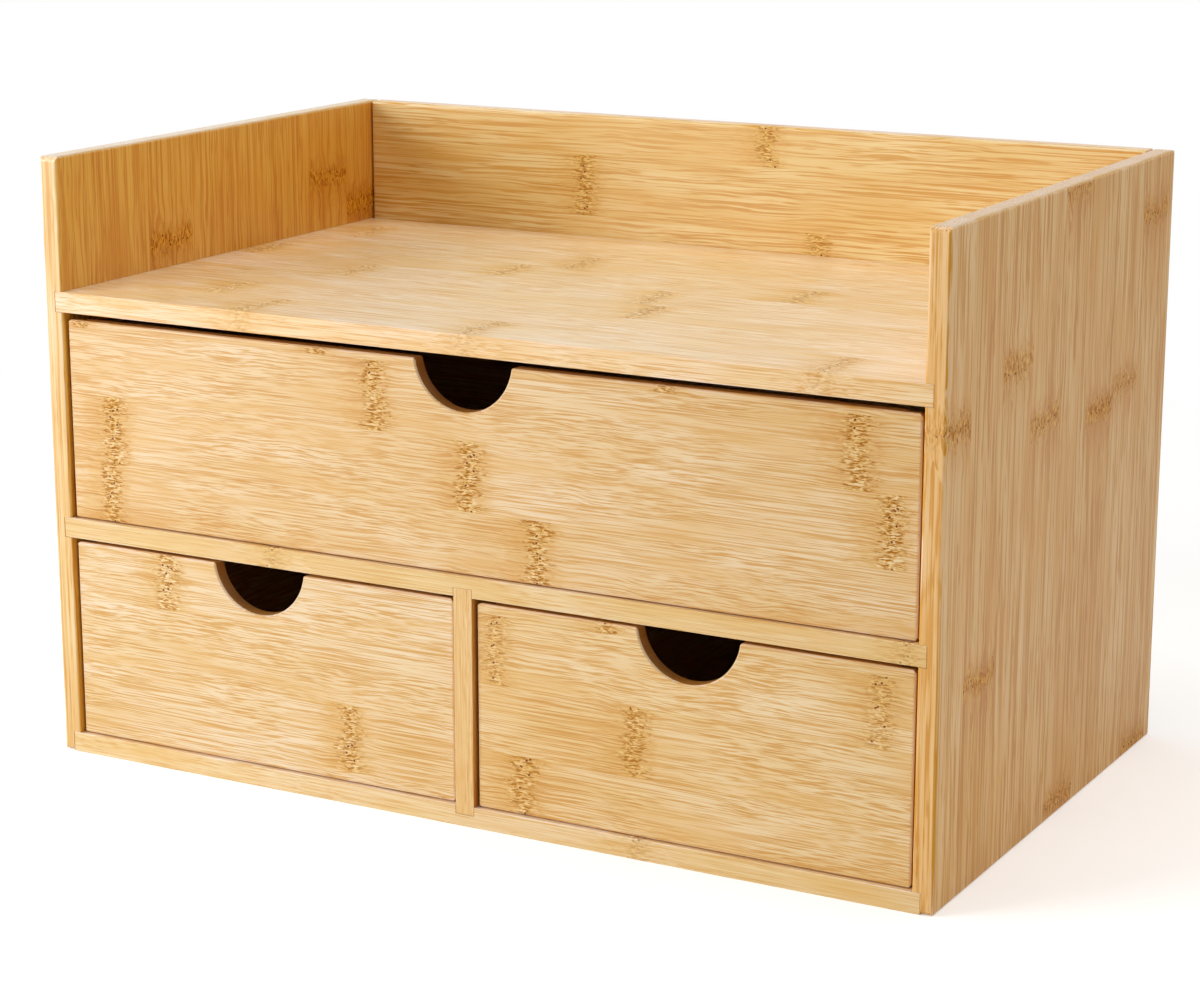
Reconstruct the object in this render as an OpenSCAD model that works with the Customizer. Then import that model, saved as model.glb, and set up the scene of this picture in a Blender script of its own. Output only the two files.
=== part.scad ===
// Desktop mini drawers in laminated bamboo: a housed and glued case with a gallery round its
// top tray, one full-width drawer and two half-width drawers, each with a finger notch.
// Millimetres. The origin is at the centre of the base, on the surface the case stands on:
// +X to the right, +Y to the back, +Z up. The drawers pull out along -Y.

/* [Case] */
// Width over the two sides
case_w = 330; // [280:5:420]
// Depth from the front edges to the back
case_d = 200; // [160:5:260]
// Height of the gallery above the tray
gallery_h = 46; // [20:2:80]
// Thickness of the case boards
board_t = 7; // [6:0.5:10]
// Depth of the housings that hold the shelves, the base and the divider
housing_d = 3; // [2:0.25:3]
// Glue line round every board end in its housing
glue_gap = 0.05; // [0.05:0.05:0.2]
// Gap between each end of the back board and the side beside it
back_end_gap = 0.6; // [0.2:0.1:0.9]
// Rounding of the sides' corners, seen from the side
corner_r = 2; // [1.5:0.5:5]
// Rounding of the sides' and the back's long edges
case_ease = 1; // [0.5:0.25:2]
// Rounding of the shelves' and the divider's edges
shelf_ease = 0.3; // [0.2:0.1:1]

/* [Bays] */
// Clear height of the upper bay
upper_bay_h = 72; // [50:1:110]
// Clear height of the two lower bays
lower_bay_h = 71; // [50:1:110]

/* [Drawers] */
// Gap between a drawer and the bay's wall on each side
side_gap = 1; // [0.6:0.1:1.5]
// Running clearance under a drawer
drawer_rise = 0.3; // [0.2:0.05:0.5]
// Gap above the upper drawer's front
upper_headroom = 2.5; // [1:0.1:4]
// Gap above a lower drawer's front
lower_headroom = 1.6; // [1:0.1:4]
// How far a closed drawer's front stands behind the case's front edges
front_recess = 1.5; // [0:0.25:4]
// Gap left between a closed drawer and the back board
stop_gap = 0.3; // [0.2:0.1:1]
// Thickness of a drawer front
front_t = 5; // [5:0.5:9]
// Depth of the rebates in a drawer front that take the drawer's sides
rebate_d = 3; // [2.5:0.25:3.5]
// Rounding of a drawer front's corners, seen from the front
front_corner_r = 1.5; // [1:0.25:4]
// Rounding of a drawer front's long edges
front_ease = 0.8; // [0.4:0.1:1.2]
// Thickness of a drawer's sides and back
side_t = 6; // [5:0.5:8]
// How much lower the drawer's sides and back are than its front
side_drop = 3; // [2:0.5:12]
// Rounding of a drawer side's and back's edges
side_ease = 0.4; // [0.2:0.1:0.8]
// Depth of the rebates in the drawer's sides that take its back
back_rebate_d = 3; // [2:0.25:3.5]

/* [Drawer bottom] */
// Thickness of the bottom panel
panel_t = 3; // [2.5:0.25:4]
// Depth of the groove that holds the panel
groove_d = 2.5; // [2:0.25:3]
// Height of the groove above the drawer's lower edge
groove_rise = 5; // [4:0.5:10]
// Clearance round the panel in its groove
panel_gap = 0.15; // [0.1:0.05:0.3]

/* [Finger notch] */
// Radius of the notch
notch_r = 18; // [16:0.5:24]
// Depth of the notch below the front's upper edge
notch_depth = 16; // [10:0.5:16]
// Radius that rounds the notch into the front's upper edge
notch_lip_r = 1; // [0.5:0.25:4]
// Chamfer round the notch on the front's face
notch_ease = 0.5; // [0.3:0.1:1]

/* [Brads] */
// Width of a brad's shank across its strip
brad_w = 1.2; // [1:0.1:1.4]
// Thickness of a brad's shank
brad_t = 1; // [0.8:0.1:1.2]
// Width of a brad's head
brad_head_w = 2; // [1.8:0.1:2.4]
// Height of a brad's head
brad_head_h = 0.8; // [0.5:0.1:1]
// How deep a brad's head is driven below the surface
brad_sink = 0.4; // [0.2:0.1:0.6]
// Clearance round a brad in the wood
brad_gap = 0.05; // [0.02:0.01:0.1]
// Length of the brads in the drawers
drawer_brad_l = 15; // [12:1:18]
// Length of the brads in the back board
back_brad_l = 20; // [16:1:25]
// Height of a drawer's lower brads above its bottom panel
low_brad_rise = 9; // [5:1:14]
// Distance of a drawer's upper brads below the top of its sides
high_brad_drop = 12; // [8:1:18]
// Distance of the outer brads in the back board from the sides
back_brad_inset = 45; // [20:5:80]
// Distance of the middle brads from the divider's centre line
back_brad_offset = 10; // [8:1:30]

/* [Hidden] */
$fn = 48;

// Colours
bamboo = "#E2B877";
bamboo_inside = "#DDB67C";
bamboo_ply = "#D9B98A";
steel = "#A9A9A6";

// Overshoot of a cut past the face it starts from
cut = 1;

// Case levels and faces
front_y = -case_d / 2;
rear_y = case_d / 2;
inner_w = case_w - 2 * board_t;
shelf_d = case_d - board_t - glue_gap;
lower_top_z = board_t + lower_bay_h;
middle_z = lower_top_z + board_t;
upper_top_z = middle_z + upper_bay_h;
tray_z = upper_top_z + board_t;
case_h = tray_z + gallery_h;
tongue = housing_d - glue_gap;

// A bay is [centre x, clear width, floor z, clear height, gap above the drawer's front]
lower_bay_w = (inner_w - board_t) / 2;
lower_bay_x = (lower_bay_w + board_t) / 2;
upper_bay = [0, inner_w, middle_z, upper_bay_h, upper_headroom];
left_bay = [-lower_bay_x, lower_bay_w, board_t, lower_bay_h, lower_headroom];
right_bay = [lower_bay_x, lower_bay_w, board_t, lower_bay_h, lower_headroom];

// Drawer sizes
drawer_l = case_d - board_t - front_recess - stop_gap;
function drawer_w(bay) = bay[1] - 2 * side_gap;
function front_h(bay) = bay[3] - bay[4] - drawer_rise;
function side_h(bay) = front_h(bay) - side_drop;
front_lip = front_t - rebate_d;
back_wall = side_t - back_rebate_d;

// A rectangle with round corners, from the origin to [a, b]
module round_rect(a, b, r) {
    translate([r, 0])
        square([a - 2 * r, b]);
    translate([0, r])
        square([a, b - 2 * r]);
    for (x = [r, a - r], y = [r, b - r])
        translate([x, y])
            circle(r);
}

// A board from the origin to size. along_x, along_y and along_z round the edges that run that way
module board(size, along_x, along_y, along_z) {
    intersection() {
        rotate([90, 0, 90])
            linear_extrude(size.x)
                round_rect(size.y, size.z, along_x);
        translate([0, size.y, 0])
            rotate([90, 0, 0])
                linear_extrude(size.y)
                    round_rect(size.x, size.z, along_y);
        linear_extrude(size.z)
            round_rect(size.x, size.y, along_z);
    }
}

// One T-headed brad, driven along +X from the origin. It is thin along Y and wide along Z.
// grow widens it all round for the slot that it makes in the wood
module brad(length, grow = 0) {
    translate([brad_sink - grow, -brad_t / 2 - grow, -brad_head_w / 2 - grow])
        cube([brad_head_h + 2 * grow, brad_t + 2 * grow, brad_head_w + 2 * grow]);
    translate([brad_sink - grow, -brad_t / 2 - grow, -brad_w / 2 - grow])
        cube([length - brad_sink + 2 * grow, brad_t + 2 * grow, brad_w + 2 * grow]);
}

// The slot that a brad leaves, open at the surface where it was driven in
module brad_slot(length) {
    brad(length, brad_gap);
    translate([-cut, -brad_t / 2 - brad_gap, -brad_head_w / 2 - brad_gap])
        cube([cut + brad_sink, brad_t + 2 * brad_gap, brad_head_w + 2 * brad_gap]);
}

// ---- Case ----

// A housing routed into a side's inner face. It runs in from the front edge, and its round end
// is behind the end of the back board
module side_housing(z) {
    width = board_t + 2 * glue_gap;
    end_y = rear_y - board_t;
    translate([0, 0, z - glue_gap])
        rotate([90, 0, 90])
            linear_extrude(housing_d + cut) {
                translate([front_y - cut, 0])
                    square([end_y - front_y + cut, width]);
                translate([end_y, width / 2])
                    circle(d = width);
            }
}

// The right-hand side board, standing at its place. The left one is its mirror image
module side_board() {
    difference() {
        translate([inner_w / 2, front_y, 0])
            board([board_t, case_d, case_h], corner_r, case_ease, case_ease);
        for (z = [0, lower_top_z, upper_top_z])
            translate([inner_w / 2 - cut, 0, 0])
                side_housing(z);
    }
}

module right_side() {
    color(bamboo)
        side_board();
}

module left_side() {
    color(bamboo)
        mirror([1, 0, 0])
            side_board();
}

// A board that lies across the case, with its ends in the sides' housings
module cross_board(z) {
    width = inner_w + 2 * tongue;
    translate([-width / 2, front_y, z])
        board([width, shelf_d, board_t], shelf_ease, shelf_ease, shelf_ease);
}

// The groove for the divider, from one end of a cross board to the other, open towards the bays
module divider_housing(z) {
    width = board_t + 2 * glue_gap;
    translate([-width / 2, front_y - cut, z])
        cube([width, case_d, housing_d + cut]);
}

module top_shelf() {
    color(bamboo)
        difference() {
            cross_board(upper_top_z);
            back_brad_slots();
        }
}

module middle_shelf() {
    color(bamboo)
        difference() {
            cross_board(lower_top_z);
            divider_housing(lower_top_z - cut);
            back_brad_slots();
        }
}

module base_board() {
    color(bamboo)
        difference() {
            cross_board(0);
            divider_housing(board_t - housing_d);
            back_brad_slots();
        }
}

module divider() {
    height = lower_bay_h + 2 * tongue;
    color(bamboo)
        translate([-board_t / 2, front_y, board_t - tongue])
            board([board_t, shelf_d, height], shelf_ease, shelf_ease, shelf_ease);
}

module back_board() {
    width = inner_w - 2 * back_end_gap;
    color(bamboo)
        difference() {
            translate([-width / 2, rear_y - board_t, 0])
                board([width, board_t, case_h], case_ease, case_ease, case_ease);
            back_brad_slots();
        }
}

// Places its children at each brad in the back board, with +X pointing into the case
module at_back_brads() {
    reach = inner_w / 2 - back_brad_inset;
    for (z = [0, lower_top_z, upper_top_z], x = [-reach, back_brad_offset, reach])
        translate([x, rear_y, z + board_t / 2])
            rotate([0, 0, -90])
                rotate([90, 0, 0])
                    children();
}

module back_brad_slots() {
    at_back_brads()
        brad_slot(back_brad_l);
}

module back_brads() {
    color(steel)
        at_back_brads()
            brad(back_brad_l);
}

// ---- Drawers ----

// Places its children in a bay's drawer: X from its middle, Y back from the front's face and
// Z up from the drawer's lower edge
module in_drawer(bay) {
    translate([bay[0], front_y + front_recess, bay[2] + drawer_rise])
        children();
}

// The finger notch's outline in X and Z, with its origin on the front's upper edge
module notch_outline() {
    centre_z = notch_r - notch_depth;
    lip_z = -notch_lip_r;
    lip_x = sqrt(pow(notch_r + notch_lip_r, 2) - pow(centre_z - lip_z, 2));
    top_z = centre_z + cut;
    translate([0, centre_z])
        circle(notch_r);
    difference() {
        polygon([
            [lip_x, lip_z], [lip_x, top_z], [-lip_x, top_z], [-lip_x, lip_z], [0, centre_z]
        ]);
        for (x = [-lip_x, lip_x])
            translate([x, lip_z])
                circle(notch_lip_r);
    }
}

// The finger notch, cut through a front whose upper edge is at z
module finger_notch(z) {
    translate([0, front_t + cut, z])
        rotate([90, 0, 0])
            linear_extrude(front_t + 2 * cut)
                notch_outline();
    translate([0, -cut, z + notch_r - notch_depth])
        rotate([-90, 0, 0])
            cylinder(h = cut + notch_ease, r1 = notch_r + cut + notch_ease, r2 = notch_r);
}

// The groove that holds the bottom panel, as a bar across the drawer
module panel_slot(size) {
    translate([0, 0, groove_rise - panel_gap])
        cube([size.x, size.y, panel_t + 2 * panel_gap]);
}

// Places its children at each brad of a drawer, with +X pointing into the drawer
module at_drawer_brads(bay) {
    rows_y = [front_t - rebate_d / 2, drawer_l - side_t / 2];
    rows_z = [groove_rise + panel_t + low_brad_rise, side_h(bay) - high_brad_drop];
    for (mx = [0, 1])
        mirror([mx, 0, 0])
            for (y = rows_y, z = rows_z)
                translate([-drawer_w(bay) / 2, y, z])
                    children();
}

module drawer_brads(bay) {
    color(steel)
        in_drawer(bay)
            at_drawer_brads(bay)
                brad(drawer_brad_l);
}

module drawer_brad_slots(bay) {
    at_drawer_brads(bay)
        brad_slot(drawer_brad_l);
}

module drawer_front(bay) {
    width = drawer_w(bay);
    height = front_h(bay);
    color(bamboo)
        in_drawer(bay)
            difference() {
                translate([-width / 2, 0, 0])
                    board([width, front_t, height], front_ease, front_corner_r, front_ease);
                finger_notch(height);
                for (x = [-width / 2 - cut, width / 2 - side_t - glue_gap])
                    translate([x, front_lip, -cut])
                        cube([side_t + glue_gap + cut, rebate_d + cut, height + 2 * cut]);
                translate([-width / 2, front_t - groove_d, 0])
                    panel_slot([width, groove_d + cut]);
                drawer_brad_slots(bay);
            }
}

// A drawer's left side. mx = 1 mirrors it for the right
module drawer_side(bay, mx) {
    start_y = front_lip + glue_gap;
    color(bamboo_inside)
        in_drawer(bay)
            mirror([mx, 0, 0])
                difference() {
                    translate([-drawer_w(bay) / 2, start_y, 0])
                        board([side_t, drawer_l - start_y, side_h(bay)], side_ease, side_ease, side_ease);
                    translate([-drawer_w(bay) / 2 + side_t - groove_d, 0, 0])
                        panel_slot([groove_d + cut, drawer_l + cut]);
                    translate([-drawer_w(bay) / 2 + back_wall, drawer_l - side_t - glue_gap, -cut])
                        cube([back_rebate_d + cut, side_t + glue_gap + cut, side_h(bay) + 2 * cut]);
                    drawer_brad_slots(bay);
                }
}

module drawer_back(bay) {
    width = drawer_w(bay) - 2 * (back_wall + glue_gap);
    color(bamboo_inside)
        in_drawer(bay)
            difference() {
                translate([-width / 2, drawer_l - side_t, 0])
                    board([width, side_t, side_h(bay)], side_ease, side_ease, side_ease);
                translate([-width / 2 - cut, drawer_l - side_t - cut, 0])
                    panel_slot([width + 2 * cut, groove_d + cut]);
                drawer_brad_slots(bay);
            }
}

module drawer_bottom(bay) {
    grip = groove_d - panel_gap;
    width = drawer_w(bay) - 2 * side_t + 2 * grip;
    depth = drawer_l - front_t - side_t + 2 * grip;
    color(bamboo_ply)
        in_drawer(bay)
            translate([-width / 2, front_t - grip, groove_rise])
                cube([width, depth, panel_t]);
}

left_side();
right_side();
top_shelf();
middle_shelf();
base_board();
divider();
back_board();
back_brads();

drawer_front(upper_bay);  // upper_drawer_front
drawer_side(upper_bay, 0);  // upper_drawer_left
drawer_side(upper_bay, 1);  // upper_drawer_right
drawer_back(upper_bay);  // upper_drawer_back
drawer_bottom(upper_bay);  // upper_drawer_bottom
drawer_brads(upper_bay);  // upper_drawer_brads

drawer_front(left_bay);  // left_drawer_front
drawer_side(left_bay, 0);  // left_drawer_left
drawer_side(left_bay, 1);  // left_drawer_right
drawer_back(left_bay);  // left_drawer_back
drawer_bottom(left_bay);  // left_drawer_bottom
drawer_brads(left_bay);  // left_drawer_brads

drawer_front(right_bay);  // right_drawer_front
drawer_side(right_bay, 0);  // right_drawer_left
drawer_side(right_bay, 1);  // right_drawer_right
drawer_back(right_bay);  // right_drawer_back
drawer_bottom(right_bay);  // right_drawer_bottom
drawer_brads(right_bay);  // right_drawer_brads
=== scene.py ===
"""Desktop mini drawers in laminated bamboo: the looks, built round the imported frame."""

import math
import random

import bpy
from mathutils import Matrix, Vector


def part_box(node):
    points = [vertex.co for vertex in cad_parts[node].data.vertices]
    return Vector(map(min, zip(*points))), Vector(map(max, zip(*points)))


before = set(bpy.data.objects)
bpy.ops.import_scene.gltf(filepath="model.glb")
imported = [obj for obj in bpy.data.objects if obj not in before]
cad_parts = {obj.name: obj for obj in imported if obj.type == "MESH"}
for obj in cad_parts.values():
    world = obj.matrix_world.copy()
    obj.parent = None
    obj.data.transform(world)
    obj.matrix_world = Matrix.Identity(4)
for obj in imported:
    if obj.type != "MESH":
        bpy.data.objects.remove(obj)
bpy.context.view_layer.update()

# ---- The two sides ----
# Boards of laminated moso bamboo, 7 mm thick, grain upright, with the shelves' ends glued into
# them. Strips about 25 mm wide are glued edge to edge, sanded flat, eased along the corners and
# lacquered satin. Each has its own tone, and knuckles where the culm's inner walls were.

MM = 0.001


def linear(hex_colour):
    """An sRGB hex colour as the linear RGBA that Blender's sockets take."""
    parts = [int(hex_colour[i : i + 2], 16) / 255 for i in (1, 3, 5)]
    return [p / 12.92 if p <= 0.04045 else ((p + 0.055) / 1.055) ** 2.4 for p in parts] + [1.0]


def add(tree, kind, *inputs, sockets=None, stops=(), **settings):
    """Adds a node. Settings go to the node itself. inputs are for its first sockets in their
    order, and sockets is for those given by name or number: each is a value, a link to another
    node's socket, or a link to a node's first output. stops are a colour ramp's.

    MULTIPLY_ADD takes a value, what multiplies it and what is added. MapRange takes a value, the
    two limits that it is read between and the two that it is turned into, else 0 and 1. A Mix
    node's two numbers are its sockets 2 and 3, and its two colours 6 and 7."""
    made = tree.nodes.new("ShaderNode" + kind)
    for name, value in settings.items():
        setattr(made, name, value)
    for name, value in [*enumerate(inputs), *(sockets or {}).items()]:
        if isinstance(value, bpy.types.Node):
            value = value.outputs[0]
        if isinstance(value, bpy.types.NodeSocket):
            tree.links.new(value, made.inputs[name])
        else:
            made.inputs[name].default_value = value
    for index, (where, colour) in enumerate(stops):
        elements = made.color_ramp.elements
        stop = elements[index] if index < 2 else elements.new(where)
        stop.position = where
        stop.color = colour
    return made


def laminated_bamboo(
    board,
    grain,
    across,
    strip,
    joint,
    knuckles,
    seed,
    body="#E6C086",
    dark=(0.83, 0.62, 0.27),
    pale=(1.07, 1.20, 1.50),
    end=(0.80, 0.52, 0.30),
    edge=(1.0, 1.0, 1.0),
    painted_light=((0, 0, 0), (1, 1, 1)),
    streak=(40.0, 0.55),
    dash=12.0,
    contrast=1.85,
    step=0.25,
    bend=1.0,
    clear=1.0,
):
    """Laminated bamboo under satin lacquer, for one board. It gives the eye fine tapering fibres,
    strips of slightly different tone, and knuckles: bands of curled fibres with dark pores, in a
    browner shade. Sizes are in millimetres.

    grain and across are the axes that the fibres and the rows of strips run along, strip is a
    strip's width, and joint the place of one glue line. knuckles holds, for each row counted from
    the board's low side, the places of up to three knuckles. seed gives the board its own chances.

    streak is a fibre bundle's length and width, dash its length where the bundles cross at a
    slant, and bend how far they swing out round a knuckle. contrast is how clear the fibres are,
    clear how clear the knuckles are, and step the difference in tone from strip to strip.

    dark, pale, end and edge are what body's red, green and blue are multiplied by, for the
    darkest fibres, the palest, end grain and long edges. painted_light is the direction of a face
    whose colour is multiplied to paint the light or shade that falls on it, with its factors."""
    low, high = (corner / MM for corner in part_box(board))
    axes = "xyz"
    start = low[axes.index(grain)]
    first_joint = joint - strip * math.ceil((joint - low[axes.index(across)]) / strip)
    rows = math.ceil((high[axes.index(across)] - first_joint) / strip)
    length, width = streak

    material = bpy.data.materials.new("laminated bamboo, satin lacquer, " + board.replace("_", " "))
    material.use_nodes = True
    tree = material.node_tree
    tree.nodes.clear()
    soft = {"interpolation_type": "SMOOTHSTEP"}
    rgba = {"data_type": "RGBA"}

    # Places in millimetres: u along the fibres from the board's end, v across the rows of strips
    # from a glue line, w through the board
    place = add(tree, "TexCoord")
    origin = [0.0, 0.0, 0.0]
    origin[axes.index(grain)] = -start
    origin[axes.index(across)] = -first_joint
    sockets = {"Vector": place.outputs["Object"], "Location": origin, "Scale": (1 / MM,) * 3}
    spot = add(tree, "Mapping", sockets=sockets)
    by_axis = dict(zip(axes, add(tree, "SeparateXYZ", spot).outputs))
    u = by_axis.pop(grain)
    v = by_axis.pop(across)
    through, w = by_axis.popitem()

    # Which way the surface faces: an end, a long edge, the side with painted light or shade, or an
    # eased corner, which leans away from the board's face and from its edge. The limits are cosines
    # of its lean
    normal = place.outputs["Normal"]
    facing = add(tree, "VectorMath", normal, operation="ABSOLUTE")
    by_axis = dict(zip(axes, add(tree, "SeparateXYZ", facing).outputs))
    on_end = add(tree, "Math", by_axis[grain], 2.0, operation="POWER")
    on_edge = add(tree, "Math", by_axis[across], 2.0, operation="POWER")
    off_face = add(tree, "MapRange", by_axis[through], 0.99, 0.9, **soft)
    off_edge = add(tree, "MapRange", by_axis[through], 0.1, 0.3, **soft)
    corner = add(tree, "Math", off_face, off_edge, operation="MULTIPLY")
    facing = add(tree, "VectorMath", normal, painted_light[0], operation="DOT_PRODUCT")
    painted_light_mask = add(tree, "MapRange", facing.outputs["Value"], 0.3, 0.8, **soft)

    # The row that a point is in, and that strip's own chances. Each strip takes its fibres from
    # another place along the noise, so that no two are alike
    seed_apart = 17.31
    most_shift = 900.0
    rows_up = add(tree, "Math", v, strip, operation="DIVIDE")
    row = add(tree, "Math", rows_up, operation="FLOOR")
    chance = add(tree, "Math", row, seed * seed_apart, operation="ADD")
    chance = add(tree, "TexWhiteNoise", sockets={"W": chance}, noise_dimensions="1D")
    tone, ripeness, _ = add(tree, "SeparateColor", chance.outputs["Color"]).outputs
    shifted = add(tree, "Math", chance.outputs["Value"], most_shift, u, operation="MULTIPLY_ADD")

    def fibres(along, over, detail=0.0, roughness=0.5, side=v):
        """Noise from 0 to 1, drawn out along the fibres in features of along by over millimetres."""
        spot = add(tree, "CombineXYZ", shifted, side, w)
        scale = (1 / along, 1 / over, 1 / over)
        spot = add(tree, "Mapping", sockets={"Vector": spot, "Scale": scale})
        sockets = {"Vector": spot, "Scale": 1.0, "Detail": detail, "Roughness": roughness}
        return add(tree, "TexNoise", sockets=sockets).outputs[0]

    # How far along the fibres a point is from the nearest knuckle of its strip. The ramp holds the
    # places of a row's knuckles in its red, green and blue, and a knuckle isn't quite straight
    far_off = 9999.0
    crook = 8.0
    stops = []
    for index in range(rows):
        places = [knuckle - start for knuckle in knuckles.get(index, ())]
        stops.append((index / rows, (places + [far_off] * 3)[:3] + [1.0]))
    middle = add(tree, "Math", row, 0.5, operation="ADD")
    lookup = add(tree, "Math", middle, rows, operation="DIVIDE")
    lookup = add(tree, "ValToRGB", lookup, stops=stops)
    lookup.color_ramp.interpolation = "CONSTANT"
    bent = add(tree, "Math", fibres(40.0, 7.0, 2.0), crook, u, operation="MULTIPLY_ADD")
    bent = add(tree, "Math", bent, 0.5 * crook, operation="SUBTRACT")
    reach = add(tree, "VectorMath", bent, lookup, operation="SUBTRACT")
    apart = add(tree, "VectorMath", reach, operation="ABSOLUTE")
    reach = add(tree, "SeparateXYZ", reach).outputs
    apart = add(tree, "SeparateXYZ", apart).outputs
    along, near = reach[0], apart[0]
    for index in (1, 2):
        closer = add(tree, "Math", apart[index], near, operation="LESS_THAN")
        along = add(tree, "Mix", closer, sockets={2: along, 3: reach[index]})
        near = add(tree, "Math", apart[index], near, operation="MINIMUM")

    # The knuckle's band has a ragged edge. The wood round it is browner, more so on one side, and
    # golden in a cloud beyond that. A knuckle is clearer in some strips and fainter on a board's
    # long edge, and end grain has none
    tear, lean, cloud_size = 10.0, 0.25, 40.0
    band_reach, band_core = 6.5, 0.5
    shade_reach, shade_core, most_shade = 14.0, 3.0, 0.6
    drift_reach, drift_core, most_drift = 75.0, 15.0, 0.15
    faintest, varied, edge_loss = 0.7, 0.5, 0.6
    torn = add(tree, "Math", fibres(3.0, 0.7), 0.5, operation="SUBTRACT")
    ragged = add(tree, "Math", torn, tear, near, operation="MULTIPLY_ADD")
    lopsided = add(tree, "Math", along, lean, ragged, operation="MULTIPLY_ADD")
    cloud = add(tree, "Math", fibres(30.0, 8.0), cloud_size, lopsided, operation="MULTIPLY_ADD")
    drift = add(tree, "MapRange", cloud, drift_reach, drift_core, 0.0, most_drift, **soft)
    knotty = add(tree, "Math", on_edge, -edge_loss * clear, clear, operation="MULTIPLY_ADD")
    knotty = add(tree, "Math", knotty, on_end, operation="SUBTRACT")
    knotty = add(tree, "Math", knotty, 0.0, operation="MAXIMUM")
    strength = add(tree, "Math", ripeness, varied, faintest, operation="MULTIPLY_ADD")
    knotty = add(tree, "Math", knotty, strength, operation="MULTIPLY")
    band = add(tree, "MapRange", ragged, band_reach, band_core, **soft)
    band = add(tree, "Math", band, knotty, operation="MULTIPLY")
    shade = add(tree, "MapRange", lopsided, shade_reach, shade_core, 0.0, most_shade, **soft)
    shade = add(tree, "Math", shade, knotty, operation="MULTIPLY")

    # The fibres wander a little, and swing out beside a knuckle
    wander_by = 1.4
    swing_reach, swing_core, swing_by = 22.0, 3.0, 2.2 * bend
    wander = add(tree, "Math", fibres(60.0, 9.0, 1.0), wander_by, v, operation="MULTIPLY_ADD")
    close = add(tree, "MapRange", near, swing_reach, swing_core, 0.0, swing_by, **soft)
    swing = add(tree, "Math", fibres(11.0, 3.5), 0.5, operation="SUBTRACT")
    flow = add(tree, "Math", swing, close, wander, operation="MULTIPLY_ADD")

    # Bundles of fibres: long straight streaks, giving way to short ones that cross at a slant
    # midway between knuckles. Real bundles are about 0.3 mm wide, too fine to show, so they are
    # drawn two to five times as wide
    slant_by = 2.2
    straight_reach, crossing_from = 16.0, 34.0
    bundles = {"detail": 2.0, "roughness": 0.62}
    slant = add(tree, "Math", fibres(16.0, 6.0), slant_by, flow, operation="MULTIPLY_ADD")
    straight = fibres(length, width, side=flow, **bundles)
    crossing = fibres(dash, width, side=slant, **bundles)
    away = add(tree, "MapRange", near, straight_reach, crossing_from, **soft)
    patch = add(tree, "MapRange", fibres(60.0, 13.0), 0.4, 0.56, **soft)
    midway = add(tree, "Math", patch, away, operation="MULTIPLY")
    streaks = add(tree, "Mix", midway, sockets={2: straight, 3: crossing})

    # Single dark flecks and finer lines lie between them. End grain shows only the finer lines,
    # and a long edge half of the rest
    fleck_length, fleck_width = 14.0, 1.6 * width
    fleck_core, fleck_reach = 0.08, 0.36
    darker, paler = -0.09, 0.012
    fine_length, fine_width = 0.6 * length, 0.42 * width
    fine_on_face, fine_on_end, edge_share = 0.55, 0.4, 0.5
    spot = add(tree, "CombineXYZ", shifted, slant, w)
    scale = (1 / fleck_length, 1 / fleck_width, 1 / fleck_width)
    spot = add(tree, "Mapping", sockets={"Vector": spot, "Scale": scale})
    flecks = add(tree, "TexVoronoi", sockets={"Vector": spot, "Scale": 1.0})
    limits = (fleck_core, fleck_reach, darker, paler)
    flecks = add(tree, "MapRange", flecks.outputs["Distance"], *limits, **soft)
    fine = fibres(fine_length, fine_width, 1.0, side=flow)
    fine = add(tree, "Math", fine, 0.5, operation="SUBTRACT")
    figure = add(tree, "Math", fine, fine_on_face, streaks, operation="MULTIPLY_ADD")
    figure = add(tree, "Math", figure, flecks, operation="ADD")
    even = add(tree, "Math", fine, fine_on_end, 0.5, operation="MULTIPLY_ADD")
    weaker = add(tree, "Math", on_edge, edge_share, on_end, operation="MULTIPLY_ADD")
    figure = add(tree, "Mix", weaker, sockets={2: figure, 3: even})

    # Pores lie down the middle of a knuckle, at most one to a cell of the pattern, whose middle
    # column is on the knuckle. Short fibres stand round them like rays, and curl
    pore_cell = 2.6
    pores_apart, rays_apart = 3.7, 60.0
    rays_round, rays_out = 2.0, 2.2
    curl_length, curl_width, curled = 2.4, 0.5, 0.8
    spot = add(tree, "Math", v, w, operation="ADD")
    spot = add(tree, "CombineXYZ", along, spot, 0.0)
    origin = (0.5, seed * pores_apart, 0.0)
    sockets = {"Vector": spot, "Location": origin, "Scale": (1 / pore_cell,) * 3}
    spot = add(tree, "Mapping", sockets=sockets)
    sockets = {"Vector": spot, "Scale": 1.0}
    pores = add(tree, "TexVoronoi", sockets=sockets, voronoi_dimensions="2D")
    from_pore = pores.outputs["Distance"]
    ray = add(tree, "VectorMath", spot, pores.outputs["Position"], operation="SUBTRACT")
    ray = add(tree, "SeparateXYZ", ray).outputs
    turn = add(tree, "Math", ray[1], ray[0], operation="ARCTAN2")
    turn = add(tree, "Math", turn, rays_round, operation="MULTIPLY")
    luck, present, _ = add(tree, "SeparateColor", pores.outputs["Color"]).outputs
    luck = add(tree, "Math", luck, rays_apart, operation="MULTIPLY")
    outward = add(tree, "Math", from_pore, rays_out, operation="MULTIPLY")
    rays = add(tree, "CombineXYZ", turn, outward, luck)
    rays = add(tree, "TexNoise", sockets={"Vector": rays, "Scale": 1.0, "Detail": 0.0})
    curls = add(tree, "CombineXYZ", along, v, w)
    scale = (1 / curl_length, 1 / curl_width, 1 / curl_width)
    curls = add(tree, "Mapping", sockets={"Vector": curls, "Scale": scale})
    sockets = {"Vector": curls, "Scale": 1.0, "Detail": 0.0, "Distortion": 1.0}
    curls = add(tree, "TexNoise", sockets=sockets)
    curls = add(tree, "Mix", curled, sockets={2: rays, 3: curls})

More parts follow.
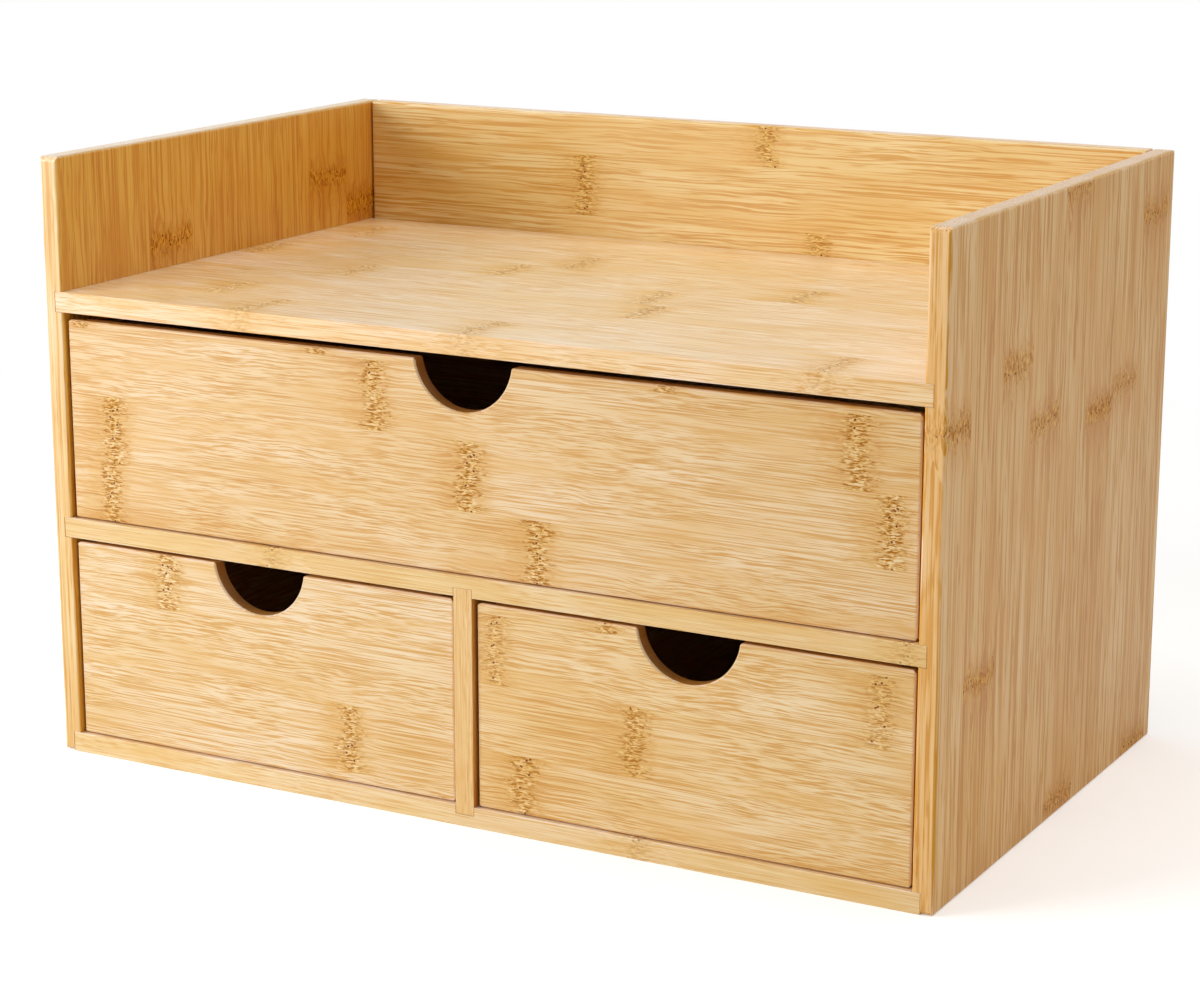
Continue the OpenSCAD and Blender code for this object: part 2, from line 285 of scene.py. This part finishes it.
    # The fibres' colours, golden in some stretches, and browner round the knuckles. Noise seldom
    # strays far from a half, so the ramp's stops stand close to that, closer with more contrast
    most_ripe, riper_strips = 0.5, 0.1
    wood = Vector(linear(body))

    def shade_of(red, green, blue):
        """The board's own colour with its red, green and blue multiplied."""
        return [min(part, 1.0) for part in wood * Vector((red, green, blue, 1.0))]

    spread = 0.16 / contrast
    stops = (0.5 - spread, shade_of(*dark)), (0.5, wood), (0.5 + spread, shade_of(*pale))
    colour = add(tree, "ValToRGB", figure, stops=stops)
    ripe = add(tree, "MapRange", fibres(50.0, 9.0, 1.0), 0.47, 0.72, 0.0, most_ripe, **soft)
    ripe = add(tree, "Math", ripeness, riper_strips, ripe, operation="MULTIPLY_ADD")
    ripe = add(tree, "Math", ripe, drift, operation="ADD")
    golden = {6: colour, 7: shade_of(0.97, 0.86, 0.58)}
    colour = add(tree, "Mix", ripe, sockets=golden, **rgba).outputs[2]
    browner = {6: colour, 7: (0.87, 0.68, 0.22, 1.0)}
    colour = add(tree, "Mix", shade, sockets=browner, blend_type="MULTIPLY", **rgba).outputs[2]

    # The knuckle's own colours: curled fibres from brown to cream, and dark pores with pale rims,
    # in half of the cells near its middle line. A pore's sizes are shares of a cell
    column_middle, column_reach = 0.5, 0.7
    empty_share = 0.5
    rim_reach, rim_core, rim_strength = 0.3, 0.18, 0.5
    pore_reach, pore_core, pore_strength = 0.21, 0.1, 1.5
    stops = (
        (0.40, shade_of(0.52, 0.28, 0.06)),
        (0.48, shade_of(0.82, 0.64, 0.28)),
        (0.55, shade_of(0.99, 0.94, 0.75)),
        (0.68, shade_of(1.10, 1.23, 1.42)),
    )
    strokes = add(tree, "ValToRGB", curls, stops=stops)
    colour = add(tree, "Mix", band, sockets={6: colour, 7: strokes}, **rgba).outputs[2]
    column = add(tree, "SeparateXYZ", pores.outputs["Position"])
    column = add(tree, "Math", column, column_middle, column_reach, operation="COMPARE")
    present = add(tree, "Math", present, empty_share, operation="GREATER_THAN")
    open_pore = add(tree, "Math", column, present, operation="MULTIPLY")
    open_pore = add(tree, "Math", open_pore, knotty, operation="MULTIPLY")
    rim = add(tree, "MapRange", from_pore, rim_reach, rim_core, 0.0, rim_strength, **soft)
    rim = add(tree, "Math", rim, open_pore, operation="MULTIPLY")
    rimmed = {6: colour, 7: shade_of(1.1, 1.25, 1.5)}
    colour = add(tree, "Mix", rim, sockets=rimmed, **rgba).outputs[2]
    dot = add(tree, "MapRange", from_pore, pore_reach, pore_core, 0.0, pore_strength, **soft)
    dot = add(tree, "Math", dot, open_pore, operation="MULTIPLY", use_clamp=True)
    dotted = {6: colour, 7: linear("#8E4C12")}
    colour = add(tree, "Mix", dot, sockets=dotted, **rgba).outputs[2]

    # Faces with painted light or shade, and ends and edges of another tint. On the sides the end
    # tint is a painted sheen. On the fronts the edge tint is painted shade, and the end tint is
    # partly painted shade. Eased corners are rubbed paler, partly wear and partly a painted
    # highlight, and those of end grain down to bare wood
    # Eased corners are multiplied paler: partly wear, partly a painted highlight.
    painted_highlight_and_wear = (1.08, 1.17, 1.65)
    bared = 1.6
    uneased = add(tree, "Math", 1.0, corner, operation="SUBTRACT")
    end_grain = add(tree, "Math", on_end, uneased, operation="MULTIPLY")
    long_edge = add(tree, "Math", on_edge, uneased, operation="MULTIPLY")
    masks = (painted_light_mask, painted_light[1]), (end_grain, end), (long_edge, edge), (corner, painted_highlight_and_wear)
    for mask, factors in masks:
        tint = {6: colour, 7: (*factors, 1.0)}
        colour = add(tree, "Mix", mask, sockets=tint, blend_type="MULTIPLY", **rgba).outputs[2]
    eased_end = add(tree, "Math", corner, on_end, operation="MULTIPLY")
    eased_end = add(tree, "Math", eased_end, bared, operation="MULTIPLY", use_clamp=True)
    bare = {6: colour, 7: linear("#F0D2A8")}
    colour = add(tree, "Mix", eased_end, sockets=bare, **rgba).outputs[2]

    # Each strip's own tone, slow changes along it, and a hair of glue between strips. Bamboo gets
    # browner as it gets darker
    slow = 1.2
    glue_core, glue_reach, glue_brown = 0.1, 0.35, 0.5
    brown = add(tree, "Math", tone, step, 0.5 - 0.5 * (step + slow), operation="MULTIPLY_ADD")
    brown = add(tree, "Math", fibres(45.0, 12.0, 1.0), slow, brown, operation="MULTIPLY_ADD")
    nearest = add(tree, "Math", rows_up, operation="ROUND")
    gap = add(tree, "Math", rows_up, nearest, operation="SUBTRACT")
    gap = add(tree, "Math", gap, operation="ABSOLUTE")
    limits = (glue_core / strip, glue_reach / strip, glue_brown, 0.0)
    glue = add(tree, "MapRange", gap, *limits, **soft)
    brown = add(tree, "Math", brown, glue, operation="ADD")
    tones = {6: (1.06, 1.13, 1.38, 1.0), 7: (0.94, 0.86, 0.62, 1.0)}
    tint = add(tree, "Mix", brown, sockets=tones, **rgba).outputs[2]
    colour = add(tree, "VectorMath", colour, tint, operation="MULTIPLY")

    # Sanding leaves the hard bundles proud by some hundredths, under the lacquer. The pores stay
    # open, curled fibres soak the lacquer up and stay duller, and eased corners are rubbed dull
    proud = 0.08 * MM
    gloss = 0.5
    duller_curls = 0.8
    height = add(tree, "Math", 1.0, band, operation="SUBTRACT")
    height = add(tree, "Math", figure, height, operation="MULTIPLY")
    height = add(tree, "Math", height, dot, operation="SUBTRACT")
    relief = add(tree, "Bump", sockets={"Height": height, "Strength": 0.2, "Distance": proud})
    dull = add(tree, "Math", band, duller_curls, operation="MULTIPLY")
    dull = add(tree, "Math", dull, dot, operation="MAXIMUM")
    dull = add(tree, "Math", dull, corner, operation="MAXIMUM")
    shine = add(tree, "Math", dull, -gloss, gloss, operation="MULTIPLY_ADD")
    sockets = {
        "Base Color": colour,
        "Roughness": 0.45,
        "Specular IOR Level": shine,
        "Normal": relief,
        "Coat Weight": shine,
        "Coat Roughness": 0.25,
    }
    surface = add(tree, "BsdfPrincipled", sockets=sockets)
    add(tree, "OutputMaterial", surface)
    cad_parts[board].data.materials.clear()
    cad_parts[board].data.materials.append(material)


upright = {"grain": "z", "across": "y", "strip": 25.0}
bold = {"dash": 55.0, "bend": 2.2}
laminated_bamboo(
    "left_side",
    joint=0.0,
    knuckles={2: (173.0,), 6: (183.0,), 7: (172.0,)},
    seed=1,
    body="#EFCC96",
    # The inner face, turned away from the key light, is multiplied darker and more orange: painted
    # shade.
    painted_light=((1, 0, 0), (0.90, 0.635, 0.15)),
    contrast=2.0,
    clear=1.3,
    step=0.5,
    streak=(110.0, 1.1),
    # The top end grain is tinted paler and bluer: a painted sheen.
    end=(0.92, 1.02, 1.3),
    **upright,
    **bold,
)
laminated_bamboo(
    "right_side",
    joint=-5.5,
    knuckles={
        0: (149.0,),
        1: (66.0,),
        2: (160.0,),
        3: (138.0,),
        4: (209.0, 4.0),
        5: (132.0,),
        6: (137.0,),
        7: (191.0, 2.0),
    },
    seed=2,
    body="#E9B466",
    dark=(0.80, 0.61, 0.16),
    pale=(1.06, 1.19, 1.60),
    contrast=3.0,
    step=0.7,
    streak=(110.0, 1.4),
    # The top end grain is tinted paler and bluer: a painted sheen.
    end=(0.82, 0.92, 1.4),
    **upright,
    **bold,
)

# ---- The back board ----
# The gallery's back and the case's, one board of strips glued edge to edge with the grain across.
# It stands between the sides, and brads hold it to the shelves' and the base's rear edges.
laminated_bamboo(
    "back_board",
    grain="x",
    across="z",
    strip=23.0,
    joint=172.0,
    knuckles={8: (-62.0,), 9: (14.0,), 7: (34.0,), 4: (-90.0, 120.0), 2: (20.0,)},
    seed=3,
    body="#E9C57B",
    edge=(1.02, 1.0, 1.6),
    streak=(70.0, 1.0),
    dash=45.0,
    step=0.3,
    bend=0.7,
)

# ---- The shelves, the base and the divider ----
# Boards of the same bamboo with the grain across the case, and the divider's upright. The ends are
# glued into housings, the shelves' and the base's in the sides, and the divider's in the middle
# shelf and the base.
lying = {"grain": "x", "across": "y", "strip": 25.0, "joint": 0.0}
laminated_bamboo(
    "top_shelf",
    knuckles={
        0: (1.0, 125.0, -85.0),
        1: (-114.0,),
        2: (33.0,),
        3: (23.0, -95.0),
        4: (-48.0, 67.0, -151.0),
        5: (-32.0,),
        6: (-139.0,),
    },
    seed=4,
    # Its body is paler than the other boards', partly as painted sheen, and its front edge is
    # multiplied paler again: a painted sheen.
    body="#F2D5A5",
    contrast=1.6,
    painted_light=((0, -1, 0), (1.05, 1.02, 1.15)),
    **lying,
)
laminated_bamboo(
    "middle_shelf",
    knuckles={0: (-75.0, 154.0), 3: (60.0,)},
    seed=5,
    body="#EED0A0",
    contrast=1.1,
    **lying,
)
laminated_bamboo(
    "base_board",
    knuckles={0: (65.0,), 2: (-60.0,), 5: (100.0,)},
    seed=6,
    body="#F3D8AE",
    contrast=1.1,
    **lying,
)
laminated_bamboo(
    "divider",
    joint=0.0,
    knuckles={3: (40.0,)},
    seed=7,
    body="#EFCC99",
    # Its right face is multiplied darker and more orange: painted shade.
    painted_light=((1, 0, 0), (0.80, 0.50, 0.15)),
    contrast=1.1,
    **upright,
)

# ---- The drawer fronts ----
# Boards of well matched strips with the grain across, glued and bradded to the drawers' sides.
# Their corners are rounded and their edges eased, and the finger notch is sawn out and sanded,
# which bares darker end grain. Their ends are tinted darker still, partly painted shade in the
# notch and the side gaps, and their long edges are tinted darker as painted shade in the gaps
# round the drawers.
fronts = {
    "grain": "x",
    "across": "z",
    "strip": 23.0,
    # Darker end grain, darkened further as painted shade in the notch and the side gaps
    "end": (0.62, 0.34, 0.12),
    # Long edges darkened: painted shade in the gaps round the drawers
    "edge": (0.72, 0.46, 0.20),
}
laminated_bamboo(
    "upper_drawer_front",
    joint=106.2,
    knuckles={
        0: (-141.0, 27.0),
        1: (-139.0, 2.0, 148.0),
        2: (-33.0, 137.0),
        3: (-152.0, -55.0, 72.0),
    },
    seed=8,
    body="#E6C189",
    **fronts,
)
laminated_bamboo(
    "left_drawer_front",
    joint=34.0,
    knuckles={1: (-45.5,), 3: (-119.0,)},
    seed=9,
    body="#EAC995",
    **fronts,
)
laminated_bamboo(
    "right_drawer_front",
    joint=27.0,
    knuckles={0: (21.0,), 1: (62.0,), 2: (11.0, 145.5), 3: (51.0,)},
    seed=10,
    body="#E8C386",
    **fronts,
)

# ---- The drawer boxes ----
# Thinner boards of the same bamboo behind each front: two sides and a back with the grain along
# them, rebated together, and a ply bottom in grooves. Nobody picks them, so knuckles fall anywhere.
drawers = ("upper_drawer", "left_drawer", "right_drawer")
boards = ("left", "right", "back", "bottom")
first_seed = 20
most_rows = 9
knuckled_share = 0.6
lowest_joint = 12.0
for number, drawer in enumerate(drawers):
    for index, board in enumerate(boards):
        node = f"{drawer}_{board}"
        low, high = (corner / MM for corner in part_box(node))
        grain = "x" if board in ("back", "bottom") else "y"
        across = "y" if board == "bottom" else "z"
        seed = first_seed + len(boards) * number + index
        luck = random.Random(seed)
        axis = "xyz".index(grain)
        knuckles = {
            row: (luck.uniform(low[axis], high[axis]),)
            for row in range(most_rows)
            if luck.random() < knuckled_share
        }
        laminated_bamboo(
            node,
            grain=grain,
            across=across,
            strip=23.0,
            joint=low["xyz".index(across)] + lowest_joint,
            knuckles=knuckles,
            seed=seed,
        )

# ---- The brads ----
# T-headed brads of bright drawn wire, shot in by an air nailer through the back board and through
# the drawers' corners. Their heads are set just below the wood, and give the eye small grey dots.
steel = bpy.data.materials.new("bright drawn steel wire")
steel.use_nodes = True
surface = steel.node_tree.nodes["Principled BSDF"]
surface.inputs["Base Color"].default_value = linear("#A8A8A4")
surface.inputs["Metallic"].default_value = 1.0
surface.inputs["Roughness"].default_value = 0.35
for node in ("back_brads", *(f"{drawer}_brads" for drawer in drawers)):
    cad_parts[node].data.materials.clear()
    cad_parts[node].data.materials.append(steel)

# ---- Floor, light and camera ----
# A sheet of matt white paper that runs out to pure white and keeps the shadow under the case, a
# square softbox to the front left, a large one overhead and a white card low on the right.
floor_size = 6.0
shadow_reach, white_from = 0.35, 0.75
bpy.ops.mesh.primitive_plane_add(size=floor_size)
floor = bpy.context.object
floor.name = "floor"
paper = bpy.data.materials.new("white paper sweep")
paper.use_nodes = True
tree = paper.node_tree
tree.nodes.clear()
sheet = add(tree, "BsdfPrincipled", sockets={"Base Color": linear("#F4F3F1"), "Roughness": 0.9})
glow = add(tree, "Emission", sockets={"Strength": 0.4})
lifted = add(tree, "AddShader", sheet, glow)
white = add(tree, "Emission", sockets={"Strength": 1.0})
place = add(tree, "TexCoord").outputs["Object"]
distance = add(tree, "VectorMath", place, operation="LENGTH").outputs["Value"]
far = add(tree, "MapRange", distance, shadow_reach, white_from, interpolation_type="SMOOTHSTEP")
seen = add(tree, "MixShader", far, lifted, white)
path = add(tree, "LightPath").outputs
face = add(tree, "MixShader", path["Is Camera Ray"], sheet, seen)
add(tree, "OutputMaterial", face)
floor.data.materials.append(paper)

# The studio round it is dim to the wood, and white to the camera and in gloss
dim = 0.15
world = bpy.data.worlds.new("studio")
bpy.context.scene.world = world
world.use_nodes = True
tree = world.node_tree
tree.nodes.clear()
path = add(tree, "LightPath").outputs
seen = add(tree, "Math", path["Is Camera Ray"], path["Is Glossy Ray"], operation="MAXIMUM")
seen = add(tree, "Math", seen, path["Is Transmission Ray"], operation="MAXIMUM")
strength = add(tree, "MapRange", seen, 0.0, 1.0, dim, 1.0)
sky = add(tree, "Background", (1.0, 1.0, 1.0, 1.0), strength)
add(tree, "OutputWorld", sky)


def softbox(name, place, size, power):
    """A rectangular area lamp at place, facing the middle of the case."""
    lamp = bpy.data.lights.new(name, "AREA")
    lamp.shape = "RECTANGLE"
    lamp.size, lamp.size_y = size
    lamp.energy = power
    holder = bpy.data.objects.new(name, lamp)
    bpy.context.scene.collection.objects.link(holder)
    holder.location = place
    middle = Vector((0.0, 0.0, 0.1))
    holder.rotation_euler = (middle - Vector(place)).to_track_quat("-Z", "Y").to_euler()


softbox("key", place=(-0.884, -0.984, 0.458), size=(0.7, 0.7), power=12.7)
softbox("overhead", place=(0.0, 0.0, 1.6), size=(1.2, 1.2), power=13.0)
softbox("right card", place=(1.5, 0.1, 0.4), size=(1.2, 0.25), power=4.4)

# A camera to the right of the front, looking down a little. Its focal length is given in pixels
# of a frame 1200 pixels wide
tilted_down, turned_right = 14.0, 28.81
focal_pixels, frame_pixels = 2992, 1200
frame_width = 36.0
camera = bpy.data.objects.new("camera", bpy.data.cameras.new("camera"))
bpy.context.scene.collection.objects.link(camera)
bpy.context.scene.camera = camera
camera.location = (0.485, -0.890, 0.340)
camera.rotation_euler = (math.radians(90 - tilted_down), 0.0, math.radians(turned_right))
camera.data.sensor_width = frame_width
camera.data.lens = focal_pixels / frame_pixels * frame_width
camera.data.clip_start = 0.05
camera.data.clip_end = 60.0

bpy.context.scene.view_settings.view_transform = "Standard"
